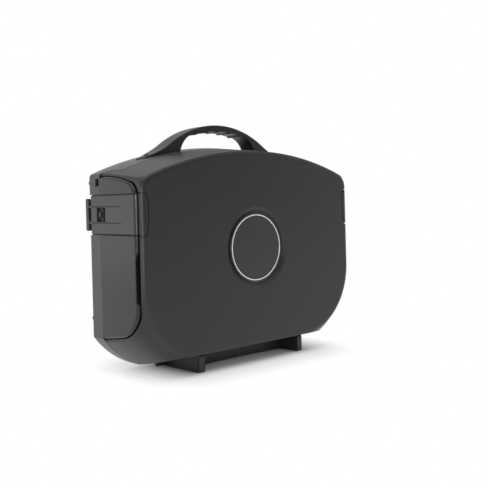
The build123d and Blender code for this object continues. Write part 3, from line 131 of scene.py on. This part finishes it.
class Sheet:
    """The node sheet of one material or world."""

    def __init__(self, tree: bpy.types.NodeTree) -> None:
        """Empties the tree and keeps it."""
        self.tree = tree
        tree.nodes.clear()

    def node(
        self,
        kind: str,
        settings: dict[str, Any] | None = None,
        inputs: dict[Union[int, str], Any] | None = None,
        output: Union[int, str] = 0,
    ) -> Wire:
        """Adds a node, sets it, then fills or links its sockets.

        Args:
            kind: the node's type.
            settings: attributes of the node.
            inputs: values or wires by socket name or number.
            output: the socket that the returned wire leaves from.

        Returns:
            The chosen output.
        """
        made = self.tree.nodes.new(kind)
        for key, value in (settings or {}).items():
            setattr(made, key, value)
        for key, value in (inputs or {}).items():
            socket = made.inputs[key]
            if isinstance(value, Wire):
                self.tree.links.new(value.socket, socket)
            else:
                socket.default_value = value
        return Wire(self, made.outputs[output] if made.outputs else made.inputs[0])

    def place(self, scale: Colour = (1.0, 1.0, 1.0)) -> Wire:
        """Object coordinates in metres, stretched by a scale."""
        at = self.node("ShaderNodeTexCoord", output="Object")
        return self.node("ShaderNodeMapping", {}, {"Vector": at, "Scale": scale})

    def noise(self, at: Wire, scale: float, detail: float = 2.0, rough: float = 0.5) -> Wire:
        """Smooth noise from 0 to 1.

        Args:
            at: coordinates.
            scale: lumps per metre.
            detail: octaves.
            rough: weight of the finer octaves.

        Returns:
            The noise value.
        """
        return self.node(
            "ShaderNodeTexNoise", {}, {"Vector": at, "Scale": scale, "Detail": detail, "Roughness": rough}
        )

    def ramp(self, value: Wire, low: float, high: float) -> Wire:
        """Stretches a value so that low becomes 0 and high becomes 1."""
        return self.node(
            "ShaderNodeMapRange",
            {"clamp": True},
            {"Value": value, "From Min": low, "From Max": high, "To Min": 0.0, "To Max": 1.0},
        )

    def tint(self, mask: Value, low: Colour, high: Colour) -> Wire:
        """Mixes two colours by a mask."""
        return self.node(
            "ShaderNodeMix", {"data_type": "RGBA"}, {0: mask, 6: (*low, 1.0), 7: (*high, 1.0)}, output=2
        )

    def bump(self, height: Wire, distance: float, strength: float, under: Wire | None = None) -> Wire:
        """Turns a height into a normal.

        Args:
            height: height from 0 to 1.
            distance: what a height of 1 stands for, in metres.
            strength: how strongly it shows.
            under: a normal that this one is laid over.

        Returns:
            The normal.
        """
        links: dict[Union[int, str], Any] = {"Height": height, "Distance": distance, "Strength": strength}
        if under is not None:
            links["Normal"] = under
        return self.node("ShaderNodeBump", {}, links)

    def edge(self, radius: float) -> Wire:
        """Normal that rounds sharp edges off.

        Args:
            radius: the rounding in metres.

        Returns:
            The normal.
        """
        return self.node("ShaderNodeBevel", {"samples": 6}, {"Radius": radius})

    def backdrop_ray(self) -> Wire:
        """1 for rays that see the plain white backdrop, from the eye or in a gloss."""
        seen = self.node("ShaderNodeLightPath", output="Is Camera Ray")
        gloss = self.node("ShaderNodeLightPath", output="Is Glossy Ray")
        through = self.node("ShaderNodeLightPath", output="Is Transmission Ray")
        return seen | gloss | through

    def close(self, shader: Wire) -> None:
        """Links a shader to the sheet's output."""
        kind = "ShaderNodeOutputMaterial"
        if any(self.tree == world.node_tree for world in bpy.data.worlds):
            kind = "ShaderNodeOutputWorld"
        self.node(kind, {}, {"Surface": shader})


def shade(colour: Colour, factor: float) -> Colour:
    """A colour made lighter or darker by a factor."""
    return (colour[0] * factor, colour[1] * factor, colour[2] * factor)


@dataclass(frozen=True)
class MouldedPlastic:
    """Spark-textured moulded plastic with faint flow marks and handling scuffs."""

    name: str
    colour: Colour
    roughness: float = 0.42
    grain: float = 900.0
    relief: float = 0.00006
    scuff: float = 0.5
    soft_edge: float = 0.0008
    mottle: float = 0.12
    flow_scale: float = 9.0
    flow_stretch: Colour = (1.0, 1.0, 0.35)
    rub_scale: float = 42.0
    rub_stretch: Colour = (1.0, 1.0, 2.4)
    rub_span: tuple[float, float] = (0.62, 0.78)
    rub_shade: float = 1.6
    index: float = 1.5

    def make(self) -> bpy.types.Material:
        """Builds the material.

        Returns:
            The material.
        """
        material = bpy.data.materials.new(self.name)
        material.use_nodes = True
        sheet = Sheet(material.node_tree)
        at = sheet.place()
        spark = sheet.noise(at, self.grain, 3.0, 0.6)
        flow = sheet.noise(sheet.place(self.flow_stretch), self.flow_scale, 3.0, 0.55)
        rub = sheet.ramp(sheet.noise(sheet.place(self.rub_stretch), self.rub_scale, 5.0, 0.7), *self.rub_span)
        tone = sheet.ramp(flow, 0.25, 0.75) * 0.75 + sheet.ramp(spark, 0.3, 0.7) * 0.25
        base = sheet.tint(tone, shade(self.colour, 1.0 - self.mottle), shade(self.colour, 1.0 + self.mottle))
        worn = sheet.node(
            "ShaderNodeMix",
            {"data_type": "RGBA"},
            {0: rub * (0.25 * self.scuff), 6: base, 7: (*shade(self.colour, self.rub_shade), 1.0)},
            output=2,
        )
        rough = self.roughness + (spark - 0.5) * 0.10 + (flow - 0.5) * 0.08 + rub * (0.06 * self.scuff)
        soft = sheet.edge(self.soft_edge)
        normal = sheet.bump(spark, self.relief, 0.55, sheet.bump(flow, 0.00025, 0.06, soft))
        shader = sheet.node(
            "ShaderNodeBsdfPrincipled",
            {},
            {"Base Color": worn, "Roughness": rough, "Normal": normal, "IOR": self.index},
        )
        sheet.close(shader)
        return material


@dataclass(frozen=True)
class DrawnMetal:
    """Plated or satin metal with fine drawing lines."""

    name: str
    colour: Colour
    roughness: float = 0.32
    metallic: float = 1.0
    lines: Colour = (60.0, 60.0, 900.0)
    cloud_scale: float = 60.0

    def make(self) -> bpy.types.Material:
        """Builds the material.

        Returns:
            The material.
        """
        material = bpy.data.materials.new(self.name)
        material.use_nodes = True
        sheet = Sheet(material.node_tree)
        drawn = sheet.noise(sheet.place(self.lines), 1.0, 3.0, 0.6)
        cloud = sheet.noise(sheet.place(), self.cloud_scale, 3.0, 0.5)
        base = sheet.tint(cloud, shade(self.colour, 0.86), shade(self.colour, 1.08))
        rough = self.roughness + (drawn - 0.5) * 0.16 + (cloud - 0.5) * 0.08
        shader = sheet.node(
            "ShaderNodeBsdfPrincipled",
            {},
            {
                "Base Color": base,
                "Roughness": rough,
                "Metallic": self.metallic,
                "Normal": sheet.bump(drawn, 0.00003, 0.4),
            },
        )
        sheet.close(shader)
        return material


@dataclass(frozen=True)
class ScreenGlass:
    """Dark screen with an anti-glare face."""

    name: str
    colour: Colour = (0.012, 0.013, 0.016)
    haze_scale: float = 2600.0
    smear_scale: float = 14.0
    smear_stretch: Colour = (1.0, 1.0, 0.5)

    def make(self) -> bpy.types.Material:
        """Builds the material.

        Returns:
            The material.
        """
        material = bpy.data.materials.new(self.name)
        material.use_nodes = True
        sheet = Sheet(material.node_tree)
        haze = sheet.noise(sheet.place(), self.haze_scale, 1.0, 0.5)
        wiped = sheet.noise(sheet.place(self.smear_stretch), self.smear_scale, 4.0, 0.6)
        smear = sheet.ramp(wiped, 0.4, 0.75)
        base = sheet.tint(smear, self.colour, shade(self.colour, 1.5))
        rough = 0.2 + smear * 0.1 + (haze - 0.5) * 0.06
        shader = sheet.node(
            "ShaderNodeBsdfPrincipled",
            {},
            {"Base Color": base, "Roughness": rough, "Normal": sheet.bump(haze, 0.00001, 0.3)},
        )
        sheet.close(shader)
        return material


@dataclass(frozen=True)
class CircuitBoard:
    """Lacquered board with tracks under the lacquer."""

    name: str
    colour: Colour = (0.012, 0.075, 0.03)
    track_scale: float = 240.0
    track_span: tuple[float, float] = (0.35, 0.42)
    cloud_scale: float = 40.0

    def make(self) -> bpy.types.Material:
        """Builds the material.

        Returns:
            The material.
        """
        material = bpy.data.materials.new(self.name)
        material.use_nodes = True
        sheet = Sheet(material.node_tree)
        cells = sheet.node(
            "ShaderNodeTexVoronoi",
            {"distance": "MANHATTAN", "feature": "F1"},
            {"Vector": sheet.place(), "Scale": self.track_scale},
        )
        track = sheet.ramp(cells, *self.track_span)
        cloud = sheet.noise(sheet.place(), self.cloud_scale, 2.0, 0.5)
        base = sheet.tint(track * 0.7 + cloud * 0.3, self.colour, shade(self.colour, 1.9))
        shader = sheet.node(
            "ShaderNodeBsdfPrincipled",
            {},
            {
                "Base Color": base,
                "Roughness": 0.3 + cloud * 0.15,
                "Normal": sheet.bump(track, 0.00005, 0.5),
            },
        )
        sheet.close(shader)
        return material


@dataclass(frozen=True)
class PileLining:
    """Short-pile lining or open foam: no gloss, with a deep fine nap."""

    name: str
    colour: Colour
    nap: float = 1400.0
    depth: float = 0.0006
    brush_scale: float = 26.0
    brush_stretch: Colour = (1.0, 1.0, 0.4)

    def make(self) -> bpy.types.Material:
        """Builds the material.

        Returns:
            The material.
        """
        material = bpy.data.materials.new(self.name)
        material.use_nodes = True
        sheet = Sheet(material.node_tree)
        at = sheet.place()
        nap = sheet.noise(at, self.nap, 3.0, 0.7)
        brush = sheet.noise(sheet.place(self.brush_stretch), self.brush_scale, 4.0, 0.6)
        tone = sheet.ramp(nap, 0.3, 0.7) * 0.6 + brush * 0.4
        base = sheet.tint(tone, shade(self.colour, 0.55), shade(self.colour, 1.45))
        normal = sheet.bump(nap, self.depth, 0.8, sheet.bump(brush, 0.001, 0.1))
        shader = sheet.node(
            "ShaderNodeBsdfPrincipled",
            {},
            {"Base Color": base, "Roughness": 0.86 + nap * 0.12, "Normal": normal, "Sheen Weight": 0.25},
        )
        sheet.close(shader)
        return material


Finish = Union[MouldedPlastic, DrawnMetal, ScreenGlass, CircuitBoard, PileLining]


class Finishes(Enum):
    """Every finish on the case."""

    CASE = MouldedPlastic("case_plastic", (0.0135, 0.0135, 0.0137), 0.40)
    WING = MouldedPlastic("wing_plastic", (0.010, 0.010, 0.0102), 0.22, soft_edge=0.0025)
    TRAY = MouldedPlastic("tray_plastic", (0.052, 0.0515, 0.0505), 0.36)
    HANDLE = MouldedPlastic("handle_plastic", (0.008, 0.008, 0.0082), 0.40)
    LATCH = MouldedPlastic("latch_plastic", (0.021, 0.021, 0.0212), 0.22, soft_edge=0.0015)
    SKID = MouldedPlastic("skid_plastic", (0.012, 0.012, 0.0122), 0.42)
    EMBLEM = MouldedPlastic("emblem_plastic", (0.020, 0.020, 0.021), 0.34, 1300.0)
    KEEPER = MouldedPlastic("keeper_plastic", (0.035, 0.035, 0.037), 0.45)
    BEZEL = MouldedPlastic("bezel_plastic", (0.010, 0.010, 0.011), 0.22, 1600.0, 0.00003)
    BUTTON = MouldedPlastic("button_plastic", (0.11, 0.11, 0.115), 0.28, 1600.0, 0.00003)
    SPEAKER = MouldedPlastic("speaker_plastic", (0.014, 0.014, 0.015), 0.5)
    SUPPLY = MouldedPlastic("supply_plastic", (0.026, 0.026, 0.027), 0.48)
    RUBBER = MouldedPlastic("bumper_rubber", (0.012, 0.012, 0.012), 0.62, 700.0, 0.0001)
    RING = DrawnMetal("ring_metal", (0.78, 0.79, 0.8), 0.4, 0.25)
    STEEL = DrawnMetal("plated_steel", (0.55, 0.56, 0.57), 0.3)
    BLACKED = DrawnMetal("blacked_steel", (0.06, 0.06, 0.062), 0.45, 0.8)
    SCREEN = ScreenGlass("screen_glass")
    BOARD = CircuitBoard("circuit_board")
    LINING = PileLining("pile_lining", (0.045, 0.045, 0.048))
    FOAM = PileLining("foam", (0.065, 0.065, 0.068), 900.0, 0.001)


class Paint:
    """Makes each finish once and lays it on pieces."""

    def __init__(self) -> None:
        """Starts with no material made."""
        self.made: dict[Finishes, bpy.types.Material] = {}

    def lay(self, piece: bpy.types.Object, finish: Finishes) -> None:
        """Gives a piece one finish all over.

        Args:
            piece: the piece or the case's own solid.
            finish: which finish.
        """
        if finish not in self.made:
            self.made[finish] = finish.value.make()
        if not piece.material_slots:
            piece.data.materials.append(None)
        for slot in piece.material_slots:
            slot.material = self.made[finish]
        LOG.info("%s has the finish %s", piece.name, finish.value.name)


@dataclass
class Shells:
    """The case's own solids and the finish of each."""

    nodes: dict[str, bpy.types.Object]
    finishes: dict[Finishes, tuple[str, ...]] = field(
        default_factory=lambda: {
            Finishes.CASE: ("lid_shell", "left_strike_plate", "right_strike_plate"),
            Finishes.WING: ("left_wing", "right_wing"),
            Finishes.TRAY: ("base_shell",),
            Finishes.HANDLE: ("handle",),
            Finishes.LATCH: ("left_latch", "right_latch"),
            Finishes.KEEPER: ("left_keeper", "right_keeper"),
            Finishes.EMBLEM: ("emblem_disc",),
            Finishes.RING: ("emblem_ring",),
            Finishes.BEZEL: ("display_bezel",),
            Finishes.SCREEN: ("display_panel",),
            Finishes.BOARD: ("display_board", "key_board"),
            Finishes.SPEAKER: ("left_speaker", "right_speaker", "left_speaker_grille", "right_speaker_grille"),
            Finishes.STEEL: (
                "bezel_screws", "skid_screws", "hinge_screws", "wing_screws",
            ),
            Finishes.BLACKED: (
                "left_hinge_pin", "right_hinge_pin", "left_hinge_leaf", "right_hinge_leaf",
                "left_latch_pin", "right_latch_pin", "handle_screws",
            ),
            Finishes.SKID: ("left_skid", "right_skid", "stand_bar"),
            Finishes.BUTTON: (
                "power_button", "source_button", "menu_button", "volume_down_button", "volume_up_button",
            ),
            Finishes.LINING: ("deck_liner",),
            Finishes.SUPPLY: ("power_supply", "power_inlet"),
            Finishes.RUBBER: ("rear_bumpers",),
        }
    )

    def dress(self, paint: Paint) -> None:
        """Lays the finishes on the solids."""
        for finish, names in self.finishes.items():
            for name in names:
                paint.lay(self.nodes[name], finish)


class Bench:
    """Edit-mode helpers for pieces made by hand."""

    @staticmethod
    def clear() -> None:
        """Leaves nothing selected and no edit mode open."""
        if bpy.context.object and bpy.context.object.mode != "OBJECT":
            bpy.ops.object.mode_set(mode="OBJECT")
        bpy.ops.object.select_all(action="DESELECT")

    @staticmethod
    def settle(piece: bpy.types.Object) -> None:
        """Moves a piece's place into its mesh."""
        Bench.clear()
        piece.select_set(True)
        bpy.context.view_layer.objects.active = piece
        bpy.ops.object.transform_apply(location=True, rotation=True, scale=True)

    @staticmethod
    def modify(piece: bpy.types.Object, kind: str, **settings: Any) -> None:
        """Adds one modifier, sets it and applies it.

        Args:
            piece: the piece.
            kind: the modifier's type.
            settings: its values.
        """
        Bench.clear()
        piece.select_set(True)
        bpy.context.view_layer.objects.active = piece
        modifier = piece.modifiers.new(kind.lower(), kind)
        for key, value in settings.items():
            setattr(modifier, key, value)
        bpy.ops.object.modifier_apply(modifier=modifier.name)


@dataclass
class FoamBlocks:
    """Foam corner blocks of the bay: crowned, soft-edged, one at each corner of the node."""

    edge: float = 0.006
    crown: float = 0.0015
    size: Colour = (0.034, 0.058, 0.046)
    cuts: int = 5
    rounds: int = 3
    sharp: float = 1.0  # an edge turning by more than this is rounded, in radians
    on_face: float = 1e-5
    fill: float = 0.9

    def build(self, paint: Paint) -> None:
        """Makes the blocks and puts them in the solid's place."""
        low, high = (Vector(corner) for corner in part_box("foam_pads"))
        made = []
        for x in (low.x + self.size[0] / 2, high.x - self.size[0] / 2):
            for z in (low.z + self.size[2] / 2, high.z - self.size[2] / 2):
                made.append(self._block(Vector((x, (low.y + high.y) / 2, z))))
        Bench.clear()
        for piece in made:
            piece.select_set(True)
        bpy.context.view_layer.objects.active = made[0]
        bpy.ops.object.join()
        blocks = bpy.context.object
        blocks.name = "foam_blocks"
        paint.lay(blocks, Finishes.FOAM)
        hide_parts("foam_pads")
        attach(blocks, Body.BASE.value)

    def _block(self, at: Vector) -> bpy.types.Object:
        """Makes one block about a middle.

        Args:
            at: the block's middle.

        Returns:
            The block.
        """
        Bench.clear()
        bpy.ops.mesh.primitive_cube_add(size=1.0, location=at)
        block = bpy.context.object
        block.scale = self.size
        Bench.settle(block)
        bpy.ops.object.mode_set(mode="EDIT")
        bpy.ops.mesh.select_all(action="SELECT")
        bpy.ops.mesh.subdivide(number_cuts=self.cuts)
        bpy.ops.object.mode_set(mode="OBJECT")
        half = Vector(self.size) / 2
        for vertex in block.data.vertices:
            part = vertex.co - at
            for axis in (0, 2):
                other = 2 - axis
                aside = max(0.0, 1.0 - (part[other] / half[other]) ** 2)
                bulge = aside * max(0.0, 1.0 - (part.y / half.y) ** 2)
                if abs(abs(part[axis]) - half[axis]) < self.on_face:
                    vertex.co[axis] -= math.copysign(self.crown * (1.0 - bulge), part[axis])
        Bench.modify(
            block, "BEVEL", width=self.edge, segments=self.rounds, limit_method="ANGLE", angle_limit=self.sharp
        )
        Bench.modify(block, "SUBSURF", levels=1, render_levels=1)
        bpy.ops.object.shade_smooth()
        return block


@dataclass(frozen=True)
class SoftBox:
    """One square lamp: where it hangs, what it points at, its side in metres and its power in watts."""

    name: str
    at: Colour
    to: Colour
    size: float
    power: float

    def hang(self) -> None:
        """Makes the lamp."""
        data = bpy.data.lights.new(self.name, "AREA")
        data.shape = "SQUARE"
        data.size = self.size
        data.energy = self.power
        lamp = bpy.data.objects.new(self.name, data)
        lamp.location = self.at
        lamp.rotation_euler = (Vector(self.to) - Vector(self.at)).to_track_quat("-Z", "Y").to_euler()
        bpy.context.scene.collection.objects.link(lamp)


@dataclass
class Studio:
    """Pale floor, soft boxes, the room and the camera at the photograph's place."""

    eye: Colour = (-0.931148, -1.066226, 0.294784)
    yaw: float = 42.3355
    pitch: float = -0.25565
    roll: float = -1.54055
    focal: float = 761.751
    centre: tuple[float, float] = (242.239, 201.222)
    frame: float = 488.0
    sensor: float = 36.0
    print_half: tuple[float, float] = (0.13, 0.06)  # half of the ground the stand covers
    print_middle: float = 0.01  # middle of that ground, from front to back
    pool: tuple[float, float] = (0.0, 0.11)  # this far off the shadow fades into the white floor
    cutaway: float = 0.15  # the floor clears over a part that swings below it by up to this
    fill: float = 0.70  # plain light from all round
    room: float = 0.76  # the room as a gloss shows it
    dim: float = 0.05  # the room ahead of the case is darker
    dim_span: tuple[float, float] = (-0.80, -0.62)
    floor_size: float = 12.0
    floor_shades: tuple[Colour, Colour] = ((0.93, 0.93, 0.93), (0.95, 0.95, 0.95))
    rim: float = 0.01  # past the shadow the floor clears over this distance
    cut_span: tuple[float, float] = (0.80, 0.98)
    far: float = 50.0
    boxes: tuple[SoftBox, ...] = (
        SoftBox("top_box", (-0.3, -0.35, 2.0), (0.0, 0.0, 0.2), 1.6, 12.0),
        SoftBox("eye_box", (-1.6, -1.75, 0.42), (0.0, 0.0, 0.25), 0.3, 11.0),
        SoftBox("left_box", (-1.5, 1.5, 0.45), (-0.2, 0.0, 0.2), 0.9, 1.3),
    )

    def build(self) -> None:
        """Makes the camera, the lamps, the sweep and the world."""
        self._camera()
        self._world()
        self._floor()
        for box in self.boxes:
            box.hang()

    def _camera(self) -> None:
        """Sets the camera with the fitted lens, turn and shift."""
        yaw, pitch, roll = (math.radians(angle) for angle in (self.yaw, self.pitch, self.roll))
        ahead = Vector((math.sin(yaw) * math.cos(pitch), math.cos(yaw) * math.cos(pitch), math.sin(pitch)))
        level = Vector((math.cos(yaw), -math.sin(yaw), 0.0))
        above = level.cross(ahead)
        right = level * math.cos(roll) + above * math.sin(roll)
        up = above * math.cos(roll) - level * math.sin(roll)
        data = bpy.data.cameras.new("camera")
        data.sensor_fit = "HORIZONTAL"
        data.sensor_width = self.sensor
        data.lens = self.focal / self.frame * self.sensor
        data.shift_x = (self.frame / 2 - self.centre[0]) / self.frame
        data.shift_y = (self.centre[1] - self.frame / 2) / self.frame
        data.clip_end = self.far
        camera = bpy.data.objects.new("camera", data)
        bpy.context.scene.collection.objects.link(camera)
        turn = Matrix((right, up, -ahead)).transposed().to_4x4()
        camera.matrix_world = Matrix.Translation(self.eye) @ turn
        bpy.context.scene.camera = camera

    def _world(self) -> None:
        """Makes the room: white to the camera, darker ahead of the case in a gloss, plain light elsewhere."""
        world = bpy.data.worlds.new("studio")
        bpy.context.scene.world = world
        world.use_nodes = True
        sheet = Sheet(world.node_tree)
        toward = sheet.node("ShaderNodeTexCoord", output="Generated")
        ahead = sheet.node("ShaderNodeSeparateXYZ", {}, {0: toward}, output="Y")
        gloss = self.dim + sheet.ramp(ahead, *self.dim_span) * (self.room - self.dim)
        level = sheet.node("ShaderNodeLightPath", output="Is Camera Ray") | gloss
        light = sheet.node("ShaderNodeBackground", {}, {"Color": WHITE, "Strength": self.fill})
        white = sheet.node("ShaderNodeBackground", {}, {"Color": WHITE, "Strength": level})
        sheet.close(sheet.node("ShaderNodeMixShader", {}, {0: sheet.backdrop_ray(), 1: light, 2: white}))

    def _floor(self) -> None:
        """Lays the pale floor, which keeps the shadow and clears over what swings below it."""
        Bench.clear()
        bpy.ops.mesh.primitive_plane_add(size=self.floor_size, location=(0.0, 0.0, 0.0))
        floor = bpy.context.object
        floor.name = "floor"
        material = bpy.data.materials.new("pale_floor")
        material.use_nodes = True
        sheet = Sheet(material.node_tree)
        at = sheet.place()
        cloud = sheet.noise(at, 3.0, 2.0, 0.5)
        lit = sheet.node(
            "ShaderNodeBsdfDiffuse",
            {},
            {"Color": sheet.tint(cloud, *self.floor_shades), "Roughness": 0.0},
        )
        white = sheet.node("ShaderNodeEmission", {}, {"Color": WHITE, "Strength": 1.0})
        across = sheet.node("ShaderNodeSeparateXYZ", {}, {0: at}, output="X")
        along = sheet.node("ShaderNodeSeparateXYZ", {}, {0: at}, output="Y") - self.print_middle
        beside = ((across | (0.0 - across)) - self.print_half[0]) | 0.0
        before = ((along | (0.0 - along)) - self.print_half[1]) | 0.0
        away = (beside * beside + before * before) ** 0.5
        fade = sheet.ramp(away, *self.pool) * sheet.backdrop_ray()
        ground = sheet.node("ShaderNodeMixShader", {}, {0: fade, 1: lit, 2: white})
        under = sheet.node(
            "ShaderNodeAmbientOcclusion", {"inside": True, "samples": 6}, {"Distance": self.cutaway}, output="AO"
        )
        beyond = sheet.ramp(away, self.pool[1], self.pool[1] + self.rim)
        seen = sheet.node("ShaderNodeLightPath", output="Is Camera Ray")
        clear = (beyond | (1.0 - sheet.ramp(under, *self.cut_span))) * seen
        through = sheet.node("ShaderNodeBsdfTransparent")
        sheet.close(sheet.node("ShaderNodeMixShader", {}, {0: clear, 1: ground, 2: through}))
        floor.data.materials.append(material)


def main() -> None:
    """Loads the frame, dresses the case and sets the studio."""
    logging.basicConfig(level=logging.INFO)
    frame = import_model()
    bpy.context.scene.view_settings.view_transform = "Standard"
    paint = Paint()
    Shells(frame["nodes"]).dress(paint)
    FoamBlocks().build(paint)
    Studio().build()


if __name__ == "__main__":
    main()
